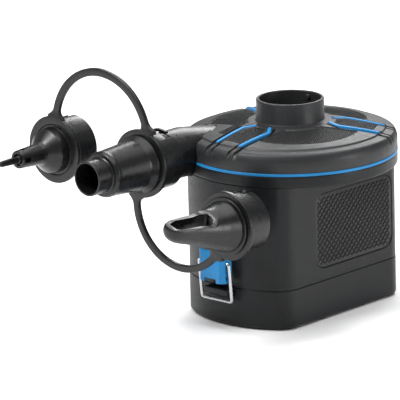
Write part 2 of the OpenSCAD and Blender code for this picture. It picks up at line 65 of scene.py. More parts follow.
HOUSING_LO, HOUSING_HI = span("main_housing")
COVER_HI = span("battery_cover")[1]
LID_LO, LID_HI = span("top_cover")
COLLAR_LO, COLLAR_HI = span("intake_collar")
TRIM_LO, TRIM_HI = span("trim_ring")
BODY_R = round(HOUSING_HI[0])
FLAT_X = round(COVER_HI[0], 1)
CORNER_R = 13
WALL = 2.4
RIM_Z = COVER_HI[2] - 0.85          # the cover's rim, under its hinge bead
SHOULDER_Z = 86.5
LID_Z = LID_LO[2]
DOME_Z = LID_HI[2]
EDGE_Z = 107.4
COLLAR_R = 20.4
COLLAR_BORE = 18.5
CREASE_R = BODY_R - 2.2
PORT = (middle("outlet_tube", 0), middle("conical_sleeve", 2))
PORT_R = 15
SPIGOT_R = 14.5
PINCH = (middle("nozzle_pinch", 0), middle("nozzle_pinch", 2))
SCOOP = (middle("nozzle_scoop", 0), middle("nozzle_scoop", 2))
RING_Y = middle("tether", 1)
RING_R = 20.6
SKIRT_R = 17.9
SKIRT_BORE = 16.2
SKIRT_BACK = span("sleeve_jaws")[1][1]
PIN_Y = -79.3
PIN_ANGLE = 27
PINCH_TURN = -38
SCOOP_TURN = -22
SCOOP_TILT = 22


# ---------- mesh helpers ----------

def link(name, mesh):
    obj = bpy.data.objects.new(name, mesh)
    bpy.context.scene.collection.objects.link(obj)
    return obj


def solid(name, points, faces):
    """A mesh object from points in millimetres, with its faces turned outwards."""
    mesh = bpy.data.meshes.new(name)
    mesh.from_pydata([[c * MM for c in p] for p in points], [], faces)
    bm = bmesh.new()
    bm.from_mesh(mesh)
    bmesh.ops.remove_doubles(bm, verts=bm.verts, dist=1e-7)
    bmesh.ops.recalc_face_normals(bm, faces=bm.faces)
    bm.to_mesh(mesh)
    bm.free()
    return link(name, mesh)


def loft(name, rings, ring_shaped=False):
    """Skin over equal rings of points. Its ends are capped, or joined to each other."""
    count = len(rings[0])
    points = [p for ring in rings for p in ring]
    faces = []
    for i in range(len(rings) if ring_shaped else len(rings) - 1):
        a, b = i * count, (i + 1) % len(rings) * count
        faces += [[a + j, a + (j + 1) % count, b + (j + 1) % count, b + j] for j in range(count)]
    if not ring_shaped:
        faces.append(list(range(count))[::-1])
        faces.append([len(points) - count + j for j in range(count)])
    return solid(name, points, faces)


def rounded(points, radius, steps=4, closed=True):
    """The outline with its corners rounded. A point may carry its own radius as a third value."""
    out = []
    for i, point in enumerate(points):
        here = Vector(point[:2])
        if not closed and i in (0, len(points) - 1):
            out.append(tuple(here))
            continue
        before = Vector(points[i - 1][:2]) - here
        after = Vector(points[(i + 1) % len(points)][:2]) - here
        r = point[2] if len(point) > 2 else radius
        half = before.angle(after) / 2
        cut = min(r / math.tan(half), 0.45 * before.length, 0.45 * after.length)
        if cut < 0.02 or half > 1.5:
            out.append(tuple(here))
            continue
        a, b = here + before.normalized() * cut, here + after.normalized() * cut
        for k in range(steps + 1):
            t = k / steps
            out.append(tuple(a * (1 - t) ** 2 + here * 2 * t * (1 - t) + b * t * t))
    return out


def lathe(name, outline, at, steps=128, upright=False):
    """Solid of revolution of a closed outline of (radius, place) about an axis along Y or Z."""
    rings = []
    for r, s in outline:
        ring = []
        for k in range(steps):
            a = TURN * k / steps
            x, w = r * math.cos(a), r * math.sin(a)
            ring.append((at[0] + x, at[1] + w, s) if upright else (at[0] + x, s, at[1] + w))
        rings.append(ring)
    return loft(name, rings, True)


def sweep(name, path, section, side=None):
    """Carries a closed section of (across, up) along a path. side(i) gives the up direction."""
    rings = []
    for i, point in enumerate(path):
        a, b = Vector(path[max(i - 1, 0)]), Vector(path[min(i + 1, len(path) - 1)])
        forward = (b - a).normalized()
        up = Vector(side(i)) if side else Vector((0, 0, 1))
        across = forward.cross(up).normalized()
        up = across.cross(forward)
        shape = section(i) if callable(section) else section
        rings.append([tuple(Vector(point) + across * u + up * v) for u, v in shape])
    return loft(name, rings)


def disc_points(r, steps=16):
    return [(r * math.cos(TURN * k / steps), r * math.sin(TURN * k / steps)) for k in range(steps)]


def pill(half_wide, half_high, radius, steps=3):
    box = [(-half_wide, -half_high), (half_wide, -half_high), (half_wide, half_high), (-half_wide, half_high)]
    return rounded(box, radius, steps)


def apply(obj):
    """Turns an object's modifiers into its mesh."""
    graph = bpy.context.evaluated_depsgraph_get()
    mesh = bpy.data.meshes.new_from_object(obj.evaluated_get(graph))
    obj.modifiers.clear()
    obj.data = mesh
    return obj


def combine(obj, other, operation="DIFFERENCE"):
    """Cuts, joins or crosses two solids, and removes the second."""
    step = obj.modifiers.new("combine", "BOOLEAN")
    step.operation = operation
    step.object = other
    step.solver = "EXACT"
    apply(obj)
    bpy.data.objects.remove(other)
    return obj


def soften(obj, width, angle=38, segments=2):
    """Rounds the edges that are sharper than the angle."""
    step = obj.modifiers.new("soften", "BEVEL")
    step.width = width * MM
    step.segments = segments
    step.limit_method = "ANGLE"
    step.angle_limit = math.radians(angle)
    step.use_clamp_overlap = True
    step.miter_outer = "MITER_ARC"
    return apply(obj)


def shade(obj, angle=42):
    """Smooth faces that meet in a crease only where the angle between them is large."""
    bm = bmesh.new()
    bm.from_mesh(obj.data)
    for face in bm.faces:
        face.smooth = True
    for edge in bm.edges:
        edge.smooth = len(edge.link_faces) == 2 and edge.calc_face_angle(0) < math.radians(angle)
    bm.to_mesh(obj.data)
    bm.free()
    return obj


def copy_of(node, name, width):
    """A softened mesh of a CAD node, for a part whose plain shape is already right."""
    obj = link(name, frame["nodes"][node].data.copy())
    obj.data.materials.clear()
    bm = bmesh.new()
    bm.from_mesh(obj.data)
    bmesh.ops.remove_doubles(bm, verts=bm.verts, dist=2e-6)
    bmesh.ops.dissolve_limit(bm, angle_limit=math.radians(1.5), verts=bm.verts, edges=bm.edges)
    bmesh.ops.recalc_face_normals(bm, faces=bm.faces)
    bm.to_mesh(obj.data)
    bm.free()
    return shade(soften(obj, width))


def merge(first, *others):
    """Puts several meshes in one object."""
    bm = bmesh.new()
    for obj in (first, *others):
        bm.from_mesh(obj.data)
    bm.to_mesh(first.data)
    bm.free()
    for obj in others:
        bpy.data.objects.remove(obj)
    return first


def piece(obj, body, slot, material, *nodes):
    """Hands a finished mesh to its body and its material, and hides the CAD nodes it stands for. The slot is not used.
    """
    obj.data.materials.clear()
    obj.data.materials.append(material)
    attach(obj, body)
    if nodes:
        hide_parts(*nodes)
    return obj


# ---------- materials ----------

class Nodes:
    """A short way to write a material's node tree."""

    def __init__(self, name):
        self.material = bpy.data.materials.new(name)
        self.material.use_nodes = True
        self.tree = self.material.node_tree
        self.shader = self.tree.nodes["Principled BSDF"]
        self.place = self.tree.nodes.new("ShaderNodeTexCoord").outputs["Object"]

    def noise(self, size_mm, detail=3, rough=0.5):
        node = self.tree.nodes.new("ShaderNodeTexNoise")
        node.inputs["Scale"].default_value = 1 / (size_mm * MM)
        node.inputs["Detail"].default_value = detail
        node.inputs["Roughness"].default_value = rough
        self.tree.links.new(self.place, node.inputs["Vector"])
        return node.outputs["Fac"]

    def ramp(self, value, low, high, colours):
        node = self.tree.nodes.new("ShaderNodeValToRGB")
        node.color_ramp.elements[0].position = low
        node.color_ramp.elements[1].position = high
        for element, colour in zip(node.color_ramp.elements, colours):
            element.color = (*colour, 1)
        self.tree.links.new(value, node.inputs["Fac"])
        return node.outputs["Color"]

    def span(self, value, low, high, to_low, to_high):
        node = self.tree.nodes.new("ShaderNodeMapRange")
        for name, number in (("From Min", low), ("From Max", high), ("To Min", to_low), ("To Max", to_high)):
            node.inputs[name].default_value = number
        self.tree.links.new(value, node.inputs["Value"])
        return node.outputs["Result"]

    def mix(self, factor, a, b):
        node = self.tree.nodes.new("ShaderNodeMix")
        node.data_type = "RGBA"
        for socket, value in ((node.inputs[0], factor), (node.inputs[6], a), (node.inputs[7], b)):
            if hasattr(value, "is_output"):
                self.tree.links.new(value, socket)
            else:
                socket.default_value = value if isinstance(value, float) else (*value, 1)
        return node.outputs[2]

    def edges(self, low=0.515, high=0.58):
        node = self.tree.nodes.new("ShaderNodeNewGeometry")
        return self.span(node.outputs["Pointiness"], low, high, 0, 1)

    def bump(self, height, strength, depth_mm, before=None):
        node = self.tree.nodes.new("ShaderNodeBump")
        node.inputs["Strength"].default_value = strength
        node.inputs["Distance"].default_value = depth_mm * MM
        self.tree.links.new(height, node.inputs["Height"])
        if before:
            self.tree.links.new(before, node.inputs["Normal"])
        return node.outputs["Normal"]

    def set(self, **values):
        for name, value in values.items():
            socket = self.shader.inputs[name.replace("_", " ")]
            if hasattr(value, "is_output"):
                self.tree.links.new(value, socket)
            else:
                socket.default_value = value
        return self.material


def moulded(name, colour, rough, grain_mm=0.45, grain=0.35, wear=0.35, shine=0.5):
    """Moulded plastic: fine eroded grain, faint cloudiness, and paler edges from handling."""
    n = Nodes(name)
    dark = tuple(c * 0.86 for c in colour)
    light = tuple(c * 1.14 for c in colour)
    base = n.ramp(n.noise(26, 4), 0.35, 0.65, (dark, light))
    worn = tuple(c * 0.8 + 0.03 for c in colour)
    scuffs = n.span(n.noise(5, 5, 0.65), 0.45, 0.7, 0.3, 1)
    factor = n.tree.nodes.new("ShaderNodeMath")
    factor.operation = "MULTIPLY"
    n.tree.links.new(n.edges(), factor.inputs[0])
    n.tree.links.new(scuffs, factor.inputs[1])
    amount = n.span(factor.outputs[0], 0, 1, 0, wear)
    fine = n.bump(n.noise(grain_mm, 2), grain, 0.06)
    normal = n.bump(n.noise(9, 2), 0.06, 0.4, fine)
    return n.set(Base_Color=n.mix(amount, base, worn),
                 Roughness=n.span(n.noise(3, 4), 0.3, 0.7, rough - 0.05, rough + 0.06),
                 Normal=normal, Specular_IOR_Level=shine)


def metal(name, colour, rough, streak_mm=0.5, tarnish=0.25):
    """Bare metal with drawn streaks and a little tarnish."""
    n = Nodes(name)
    dull = tuple(c * 0.62 for c in colour)
    base = n.mix(n.span(n.noise(4, 5), 0.5, 0.75, 0, tarnish), colour, dull)
    return n.set(Base_Color=base, Metallic=1.0, Roughness=n.span(n.noise(1.5, 3), 0.3, 0.7, rough, rough + 0.14),
                 Normal=n.bump(n.noise(streak_mm, 2), 0.15, 0.03))


def sleeve(name, colour, rough):
    """Printed foil on a cell: a smooth skin with faint wrinkles."""
    n = Nodes(name)
    base = n.mix(n.span(n.noise(14, 3), 0.4, 0.6, 0, 0.3), colour, tuple(c * 0.6 for c in colour))
    return n.set(Base_Color=base, Metallic=0.4, Roughness=rough, Normal=n.bump(n.noise(3, 3), 0.12, 0.1))


def rubber(name, colour, rough=0.6):
    """Soft insulation or soft-touch skin."""
    n = Nodes(name)
    base = n.mix(n.span(n.noise(6, 4), 0.4, 0.65, 0, 0.35), colour, tuple(c * 1.5 + 0.004 for c in colour))
    return n.set(Base_Color=base, Roughness=n.span(n.noise(2, 3), 0.3, 0.7, rough - 0.06, rough + 0.06),
                 Normal=n.bump(n.noise(0.35, 2), 0.3, 0.05), Specular_IOR_Level=0.35)


MATERIALS = {
    "body_plastic": moulded("satin_charcoal", (0.0075, 0.008, 0.0088), 0.4, 0.5, 0.3, wear=0.25, shine=0.24),
    "lid_plastic": moulded("satin_grey", (0.017, 0.0175, 0.0185), 0.44, 0.5, 0.4, wear=0.3, shine=0.33),
    "blue_plastic": moulded("vivid_blue", (0.012, 0.185, 0.43), 0.42, 0.6, 0.15, wear=0.1, shine=0.25),
    "nozzle_plastic": moulded("soft_black", (0.006, 0.0062, 0.0066), 0.3, 0.5, 0.45, wear=0.25, shine=0.38),
    "grip_plastic": rubber("grip_black", (0.008, 0.008, 0.0085), 0.4),
    "wire_steel": metal("bright_wire", (0.5, 0.5, 0.51), 0.22, tarnish=0.2),
    "sheet_steel": metal("plain_steel", (0.62, 0.62, 0.63), 0.32),
    "brass": metal("plain_brass", (0.72, 0.52, 0.2), 0.28),
    "magnet": moulded("sintered_grey", (0.06, 0.06, 0.065), 0.6, 0.3, 0.6),
    "cell_wrap": sleeve("cell_foil", (0.04, 0.14, 0.36), 0.34),
    "lead_red": rubber("red_insulation", (0.45, 0.02, 0.02), 0.45),
    "lead_black": rubber("black_insulation", (0.015, 0.015, 0.015), 0.45),
}


def finish_cad_nodes():
    """Every CAD node that stays in view takes the material of its slot."""
    for part in frame["record"]["subparts"]:
        obj = frame["nodes"][part["node"]]
        obj.data.materials.clear()
        obj.data.materials.append(MATERIALS[part["material_slot"]])


# ---------- plan outline of the body ----------

def plan_angles():
    """Angles round the body, closer together on its corners."""
    cx = FLAT_X - CORNER_R
    turn = math.atan2(math.sqrt((BODY_R - CORNER_R) ** 2 - cx * cx), cx)
    start = math.atan2(math.sqrt((BODY_R - CORNER_R) ** 2 - cx * cx), FLAT_X)
    quarter = [start * i / 12 for i in range(12)]
    quarter += [start + (turn - start) * i / 14 for i in range(14)]
    quarter += [turn + (math.pi / 2 - turn) * i / 20 for i in range(20)]
    half = quarter + [math.pi / 2] + [math.pi - a for a in quarter[:0:-1]]
    return half + [math.pi + a for a in half]


ANGLES = plan_angles()


def plan_radius(angle, inset):
    """Distance from the axis to the body's outline: flat, then rounded corner, then round front."""
    x, y = abs(math.cos(angle)), abs(math.sin(angle))
    cx = FLAT_X - CORNER_R
    cy = math.sqrt((BODY_R - CORNER_R) ** 2 - cx * cx)
    rc = CORNER_R - inset
    if y * cx >= x * cy:
        return BODY_R - inset
    flat = (FLAT_X - inset) / x
    if flat * y <= cy:
        return flat
    along = cx * x + cy * y
    return along + math.sqrt(along ** 2 - cx * cx - cy * cy + rc * rc)


def body_ring(inset, z, round_share=0.0, disc_r=0.0):
    """One ring of the body at height z, blended towards a full circle."""
    ring = []
    for a in ANGLES:
        r = plan_radius(a, inset) * (1 - round_share) + disc_r * round_share
        ring.append((r * math.cos(a), r * math.sin(a), z))
    return ring


def arc_steps(steps=4):
    return [math.pi / 2 * k / steps for k in range(steps + 1)]


def rounded_panel(name, side, levels):
    """Rounded panel on one flat. Each level is (inset, distance from the axis)."""
    low, high = span("grip_right")
    rings = []
    for inset, x in levels:
        y0, y1, z0, z1 = low[1] + inset, high[1] - inset, low[2] + inset, high[2] - inset
        corners = [(y0, z0), (y1, z0), (y1, z1), (y0, z1)]
        rings.append([(side * x, y, z) for y, z in rounded(corners, 9 - inset, 8)])
    return loft(name, rings)


def port_cutter(clearance):
    """The space that the outlet tube takes through the lid and the housing."""
    outline = [(0, -74), (PORT_R + clearance, -74), (PORT_R + clearance, -56), (11.2 + clearance, -29), (0, -29)]
    rings = [[(PORT[0] + r * c, y, PORT[1] + r * s)
              for c, s in ((math.cos(TURN * k / 96), math.sin(TURN * k / 96)) for k in range(96))]
             for r, y in outline[1:4]]
    return loft("port_cutter", rings)


# ---------- casings ----------

def make_housing():
    bevel = 0.45
    rings = [body_ring(WALL, HOUSING_LO[2] + 0.3)]
    rings += [body_ring(WALL - 0.3, HOUSING_LO[2])]
    rings += [body_ring(0.1 + bevel * (1 - math.sin(a)), HOUSING_LO[2] + bevel * (1 - math.cos(a)))
              for a in arc_steps()]
    rings += [body_ring(0.1, z) for z in (36, 50, 65, SHOULDER_Z - 3, SHOULDER_Z - 1.2)]
    rings += [body_ring(0.1, SHOULDER_Z - 1.2 * (1 - math.sin(a)), 0.06 * (1 - math.cos(a)), BODY_R)
              for a in arc_steps()[1:]]
    rings += [body_ring(0.1, SHOULDER_Z, share, BODY_R - 1.1) for share in (0.5, 1)]
    rings += [body_ring(0, SHOULDER_Z + 1.1 * (1 - math.cos(a)), 1, BODY_R - 1.1 + 1.1 * math.sin(a))
              for a in arc_steps()]
    rings += [body_ring(0, z, 1, BODY_R) for z in (89, 91.5)]
    rings += [body_ring(0, TRIM_LO[2] - 0.5 * (1 - math.sin(a)), 1, BODY_R - 0.5 * (1 - math.cos(a)))
              for a in arc_steps()]
    inner = BODY_R - WALL
    rings += [body_ring(0, z, 1, inner) for z in (TRIM_LO[2], SHOULDER_Z + WALL)]
    rings += [body_ring(WALL, z) for z in (SHOULDER_Z + WALL, SHOULDER_Z, 60, 40)]
    housing = loft("housing_shell", rings, True)
    for side in (-1, 1):
        levels = [(0.9, FLAT_X - 1.25), (0.2, FLAT_X - 1.2), (-0.3, FLAT_X - 0.35), (-0.9, FLAT_X + 0.3),
                  (-0.9, FLAT_X + 3)]
        combine(housing, rounded_panel("recess", side, levels))
    combine(housing, port_cutter(0.45))
    low, high = span("switch_body")
    window = [(low[0] + 2.8, low[2] + 1.8), (high[0] - 2.8, low[2] + 1.8),
              (high[0] - 2.8, high[2] - 1.8), (low[0] + 2.8, high[2] - 1.8)]
    opening = rounded(window, 1.5)
    combine(housing, loft("window", [[(x, y, z) for x, z in opening] for y in (BODY_R - 7, BODY_R + 3)]))
    bead = [(0, 63.6 + c, RIM_Z + 0.15 + s) for c, s in disc_points(1.2, 24)]
    combine(housing, loft("bead_seat", [[(x, y, z) for _, y, z in bead] for x in (-8.4, 8.4)]))
    soften(housing, 0.25, 50)
    return piece(shade(housing), "root", "body_plastic", MATERIALS["body_plastic"], "main_housing")


def make_lug():
    """The lug that carries the lever's pin, on the front of the housing."""
    pin_low, pin_high = span("latch_pin")
    y, z = (pin_low[1] + pin_high[1]) / 2, (pin_low[2] + pin_high[2]) / 2
    front = [(y + 2.1 * math.sin(TURN * k / 24), z + 2.1 * math.cos(TURN * k / 24)) for k in range(12, 25)]
    side = front + [(y + 7.5, z + 2.1), (y + 7.5, z - 2.1)]
    bar = loft("latch_lug", [[(x, yy, zz) for yy, zz in side] for x in (-3.9, 3.9)])
    bore = loft("lug_bore", [[(x, y + c, z + s) for c, s in disc_points(1.06, 24)] for x in (-6, 6)])
    combine(bar, bore)
    return piece(shade(soften(bar, 0.35)), "root", "body_plastic", MATERIALS["body_plastic"])


def make_cover():
    """Battery cover with a rounded foot, a shallow panel beneath and a hinge bead behind."""
    foot = 2.4
    rings = [body_ring(9, 0.7), body_ring(8.6, 0.7), body_ring(8, 0.1), body_ring(7.8, 0)]
    rings += [body_ring(foot * (1 - math.sin(a)), foot * (1 - math.cos(a))) for a in arc_steps(6)]
    rings += [body_ring(0, z) for z in (8, 15, 21)]
    rings += [body_ring(0.45 * (1 - math.cos(a)), RIM_Z - 0.45 * (1 - math.sin(a))) for a in arc_steps()]
    rings += [body_ring(WALL - 0.3, RIM_Z), body_ring(WALL, RIM_Z - 0.3)]
    rings += [body_ring(WALL, z) for z in (12, WALL + 1)]
    rings += [body_ring(WALL + 1 - math.cos(a), WALL + 1 - math.sin(a)) for a in arc_steps()[1:]]
    cover = loft("cover_shell", rings)
    bead = loft("bead", [[(x, 63.6 + c, RIM_Z + 0.15 + s) for c, s in disc_points(r, 24)]
                         for x, r in ((-8, 0.6), (-7.7, 0.9), (7.7, 0.9), (8, 0.6))])
    combine(cover, bead, "UNION")
    return piece(shade(cover), "cover", "body_plastic", MATERIALS["body_plastic"], "battery_cover")


def dome(r):
    """Height of the lid's dome at radius r."""
    q = (r - COLLAR_R) / (CREASE_R - COLLAR_R)
    return DOME_Z - (DOME_Z - EDGE_Z) * (0.55 * q + 0.45 * q * q)


PLATEAU_R = 56.6
STEP = 0.75


def lid_height(r):
    """Height of the lid's skin: a dome that steps down to the rim band."""
    if r < PLATEAU_R:
        return dome(r)
    return dome(r) - STEP * min((r - PLATEAU_R) / 0.7, 1)


def lid_outline():
    """Section of the lid as (radius, height), going outwards over the top and back underneath."""
    top = [(COLLAR_R + 0.05, dome(COLLAR_R) - 0.3)]
    top += [(r, dome(r)) for r in (COLLAR_R + 0.4 + (PLATEAU_R - COLLAR_R - 0.4) * i / 30 for i in range(31))]
    top += [(PLATEAU_R + 0.25, lid_height(PLATEAU_R + 0.25)), (PLATEAU_R + 0.7, lid_height(PLATEAU_R + 0.7))]
    rim = rounded([(PLATEAU_R + 1.2, lid_height(PLATEAU_R + 1.2)), (CREASE_R + 0.6, EDGE_Z - 1.0, 2.6),
                   (BODY_R, EDGE_Z - 4.4, 9), (BODY_R, LID_Z)], 3, 7, closed=False)
    foot = [(BODY_R, LID_Z + 0.5), (BODY_R - 0.15, LID_Z + 0.12), (BODY_R - 0.5, LID_Z), (BODY_R - WALL, LID_Z)]
    under = [(BODY_R - WALL, EDGE_Z - 6), (CREASE_R - 4, EDGE_Z - 2.2)]
    under += [(r, dome(r) - WALL) for r in (50, 40, 30, COLLAR_R + 0.05)]
    return top + rim[:-1] + foot + under


def spoke_point(spoke, across, out):
    """Plan point at a distance out along a spoke and across it."""
    a = math.radians(-90 + 120 * spoke)
    return out * math.cos(a) - across * math.sin(a), out * math.sin(a) + across * math.cos(a)


def resample(points, step):
    out = [points[0]]
    for a, b in zip(points, points[1:]):
        count = max(1, round(math.dist(a, b) / step))
        out += [tuple(a[i] + (b[i] - a[i]) * k / count for i in range(len(a))) for k in range(1, count + 1)]
    return out


def smooth_path(points, radius, step):
    return resample(rounded(points, radius, 5, closed=False), step)


def skin_z(x, y):
    """Height of the lid under a plan point, following the rim down its side."""
    r = math.hypot(x, y)
    if r <= 60.5:
        return lid_height(r)
    drop = (r - 60.5) / (BODY_R - 60.5)
    return lid_height(60.5) - 3.6 * drop ** 2.2


def ribbon(name, spoke, left, right, section):
    """Solid over the strip between two lines on the lid. section is a closed list of
    (share across, extra outwards, height over the skin)."""
    rings = []
    for (t0, s0), (t1, s1) in zip(left, right):
        a, b = Vector(spoke_point(spoke, t0, s0)), Vector(spoke_point(spoke, t1, s1))
        wide = (b - a).normalized()
        ring = []
        for share, extra, height in section:
            p = a.lerp(b, share) + wide * extra
            ring.append((p.x, p.y, skin_z(p.x, p.y) + height))
        rings.append(ring)
    return loft(name, rings)


def offset_line(line, amount):
    """The line moved sideways by an amount that may change along it."""
    out = []
    for i, point in enumerate(line):
        a, b = Vector(line[max(i - 1, 0)][:2]), Vector(line[min(i + 1, len(line) - 1)][:2])
        d = (b - a).normalized()
        shift = amount(i / (len(line) - 1)) if callable(amount) else amount
        out.append((point[0] - d.y * shift, point[1] + d.x * shift))
    return out


def end_taper(width, share=0.05):
    """Half-width along a strip, with round ends."""
    def at(t):
        edge = min(t, 1 - t) / share
        return width * (1 if edge >= 1 else max(0.12, math.sqrt(1 - (1 - edge) ** 2)))
    return at


def bar_line(side):
    return smooth_path([(side * 5.1, 24.2), (side * 10.3, 31), (side * 8.7, 56.2)], 2.5, 0.9)


def groove_line(side):
    return smooth_path([(side * 8.3, 23.6), (side * 13.0, 30.4), (side * 11.4, 56), (side * 10.8, 65)], 2.5, 0.9)


def make_bars():
    """The blue bars, two on each spoke, with rounded tops."""
    names = ("accent_front", "accent_right", "accent_left")
    section = [(0, 0, -1.4), (1, 0, -1.4), (1, 0, 0.25), (1, -0.12, 0.45), (1, -0.42, 0.6), (0.5, 0, 0.66),
               (0, 0.42, 0.6), (0, 0.12, 0.45), (0, 0, 0.25)]
    for spoke, node in enumerate(names):
        bars = []
        for side in (-1, 1):
            line = bar_line(side)
            half = end_taper(1.15, 0.045)
            bars.append(ribbon("bar", spoke, *both_sides(line, half), section))
        obj = merge(*bars)
        obj.name = "bars_" + node[7:]
        piece(shade(obj, 50), "root", "blue_plastic", MATERIALS["blue_plastic"], node)


def both_sides(line, half):
    """The two edges of a ribbon, at the width half(t) to either side of a line."""
    return offset_line(line, half), offset_line(line, lambda t: -half(t))


def groove_half(t):
    return 0.7 + 0.6 * min(t / 0.3, 1)


def notch_half(t):
    return 0.3 + 0.5 * min(t / 0.4, 1)


def crescent_edges():
    """Inner and outer edge of the textured field between two spokes, in the first spoke's frame."""
    inner, outer = [], []
    for i in range(41):
        share = i / 40
        a = math.radians(18 + 84 * share)
        r_in = max(26.2, 14.6 / min(math.sin(a), math.sin(math.radians(120) - a)))
        r_out = 45.4 + 4.2 * math.sin(math.pi * share) ** 0.8
        r_in = min(r_in, r_out - 0.6)
        inner.append((r_in * math.sin(a), r_in * math.cos(a)))
        outer.append((r_out * math.sin(a), r_out * math.cos(a)))
    return inner, outer


FIELD_DEPTH = 0.8
INSET_DEPTH = 0.65


def field_section(depth):
    """A shallow tray with sloping walls, tall above the skin so that it cuts clean through it."""
    across = [k / 12 for k in range(13)]
    floor = [(s, 0, -depth) for s in across]
    wall = [(1, 0.55, -0.18), (1, 0.75, 0.3), (1, 0.75, 2)]
    top = [(s, 0, 2) for s in across[::-1][1:-1]]
    return floor + wall + top + [(0, -0.75, 2), (0, -0.75, 0.3), (0, -0.55, -0.18)]


def inset_edges():
    """Edges of the textured strip between a spoke's two bars."""
    line = [(0, 27.2 + 24.8 * i / 24) for i in range(25)]
    def half(t):
        return 3.6 + 3.9 * min(t / 0.22, 1) - 0.9 * max(t - 0.22, 0)
    return both_sides(line, half)


def make_lid():
    lid = lathe("lid_shell", lid_outline(), (0, 0), 288, upright=True)
    for spoke in range(3):
        inner, outer = crescent_edges()
        combine(lid, ribbon("field", spoke, inner, outer, field_section(FIELD_DEPTH)))
        left, right = inset_edges()
        combine(lid, ribbon("inset", spoke, left, right, field_section(INSET_DEPTH)))
        for side in (-1, 1):
            channel = [(0, 0, -1.3), (1, 0, -1.3), (1, 0.25, 2), (0, -0.25, 2)]
            line = bar_line(side)
            half = end_taper(1.3, 0.045)
            combine(lid, ribbon("seat", spoke, *both_sides(line, half), channel))
            groove = [(0, 0, -1.7), (1, 0, -1.7), (1, 0.3, 3), (0, -0.3, 3)]
            line = groove_line(side)
            combine(lid, ribbon("groove", spoke, *both_sides(line, groove_half), groove))
            inner_line = smooth_path([(side * 6.9, 51), (side * 6.6, 57), (side * 6.4, 65)], 2, 0.9)
            combine(lid, ribbon("notch", spoke, *both_sides(inner_line, notch_half), groove))
    combine(lid, port_cutter(0.45))
    soften(lid, 0.22, 40)
    return piece(shade(lid), "root", "lid_plastic", MATERIALS["lid_plastic"], "top_cover")


def bump_mesh(name, places, radius, height, turn):
    """Many small four-sided bumps. Each place is (point, outward, along)."""
    points, faces = [], []
    for point, out, along in places:
        side = out.cross(along).normalized()
        along = side.cross(out)
        base = len(points)
        for scale, lift in ((radius, -0.15), (radius * 0.45, height)):
            for k in range(4):
                a = turn + TURN * k / 4
                points.append(tuple(point + (along * math.cos(a) + side * math.sin(a)) * scale + out * lift))
        faces.append([base + 4 + k for k in range(4)])
        faces += [[base + k, base + (k + 1) % 4, base + 4 + (k + 1) % 4, base + 4 + k] for k in range(4)]
        faces.append([base + 3 - k for k in range(4)])
    return solid(name, points, faces)


def inside(point, polygon):
    x, y = point
    hit = False
    for (x0, y0), (x1, y1) in zip(polygon, polygon[1:] + polygon[:1]):
        if (y0 > y) != (y1 > y) and x < (x1 - x0) * (y - y0) / (y1 - y0) + x0:
            hit = not hit
    return hit


def make_lid_texture():
    """Rows of small bumps on the floors of the fields and insets."""
    pitch = 1.3
    places = []
    tube = Vector((PORT[0], 0))
    for spoke in range(3):
        for (left, right), depth in ((crescent_edges(), FIELD_DEPTH), (inset_edges(), INSET_DEPTH)):
            edge = [spoke_point(spoke, *p) for p in left + right[::-1]]
            for i in range(-50, 51):
                for j in range(-58, 59):
                    x, y = pitch * (i + 0.5 * (j % 2)), pitch * 0.866 * j
                    ring = [(x + 0.75 * math.cos(a), y + 0.75 * math.sin(a)) for a in (0, 2.1, 4.2)]
                    if not all(inside(p, edge) for p in ring):
                        continue
                    if abs(x - tube.x) < PORT_R and y < -26:
                        continue
                    places.append((Vector((x, y, dome(math.hypot(x, y)) - depth)), Vector((0, 0, 1)), Vector((1, 0, 0))))
    bumps = bump_mesh("lid_texture", places, 0.58, 0.5, math.pi / 4)
    return piece(shade(bumps, 20), "root", "lid_plastic", MATERIALS["lid_plastic"])


def make_collar():
    outline = rounded([(COLLAR_BORE, COLLAR_LO[2]), (COLLAR_R, COLLAR_LO[2]), (COLLAR_R, COLLAR_HI[2] - 0.02, 0.8),
                       (COLLAR_BORE, COLLAR_HI[2] - 0.02, 0.8)], 0.3, 5)
    collar = lathe("intake_ring", outline, (0, 0), 160, upright=True)
    foot = rounded([(COLLAR_R - 0.2, DOME_Z - 0.9), (COLLAR_R + 0.9, DOME_Z - 0.9), (COLLAR_R + 0.9, DOME_Z - 0.1, 0.1),
                    (COLLAR_R + 0.25, DOME_Z + 0.15, 0.3), (COLLAR_R - 0.2, DOME_Z + 1.2)], 0.1, 4)
    collar = combine(collar, lathe("collar_foot", foot, (0, 0), 160, upright=True), "UNION")
    for turn in (5, 185):
        a = math.radians(turn + 90)
        out = Vector((math.cos(a), math.sin(a), 0))
        side = Vector((-out.y, out.x, 0))
        rings = [[tuple(out * r + side * c + Vector((0, 0, COLLAR_HI[2] - 3.4 + s))) for c, s in disc_points(w, 20)]
                 for r, w in ((COLLAR_BORE + 0.4, 1.6), (COLLAR_BORE - 1.15, 1.6), (COLLAR_BORE - 1.5, 1.25))]
        collar = combine(collar, loft("collar_pin", rings), "UNION")
    return piece(shade(collar), "root", "lid_plastic", MATERIALS["lid_plastic"], "intake_collar")


def make_trim():
    low, high = TRIM_LO[2], TRIM_HI[2]
    outline = rounded([(BODY_R - WALL - 0.4, low), (BODY_R + 0.2, low), (BODY_R + 0.2, high),
                       (BODY_R - WALL - 0.4, high)], 0.45, 4)
    ring = combine(lathe("blue_ring", outline, (0, 0), 256, upright=True), port_cutter(0.45))
    return piece(shade(ring), "root", "blue_plastic", MATERIALS["blue_plastic"], "trim_ring")


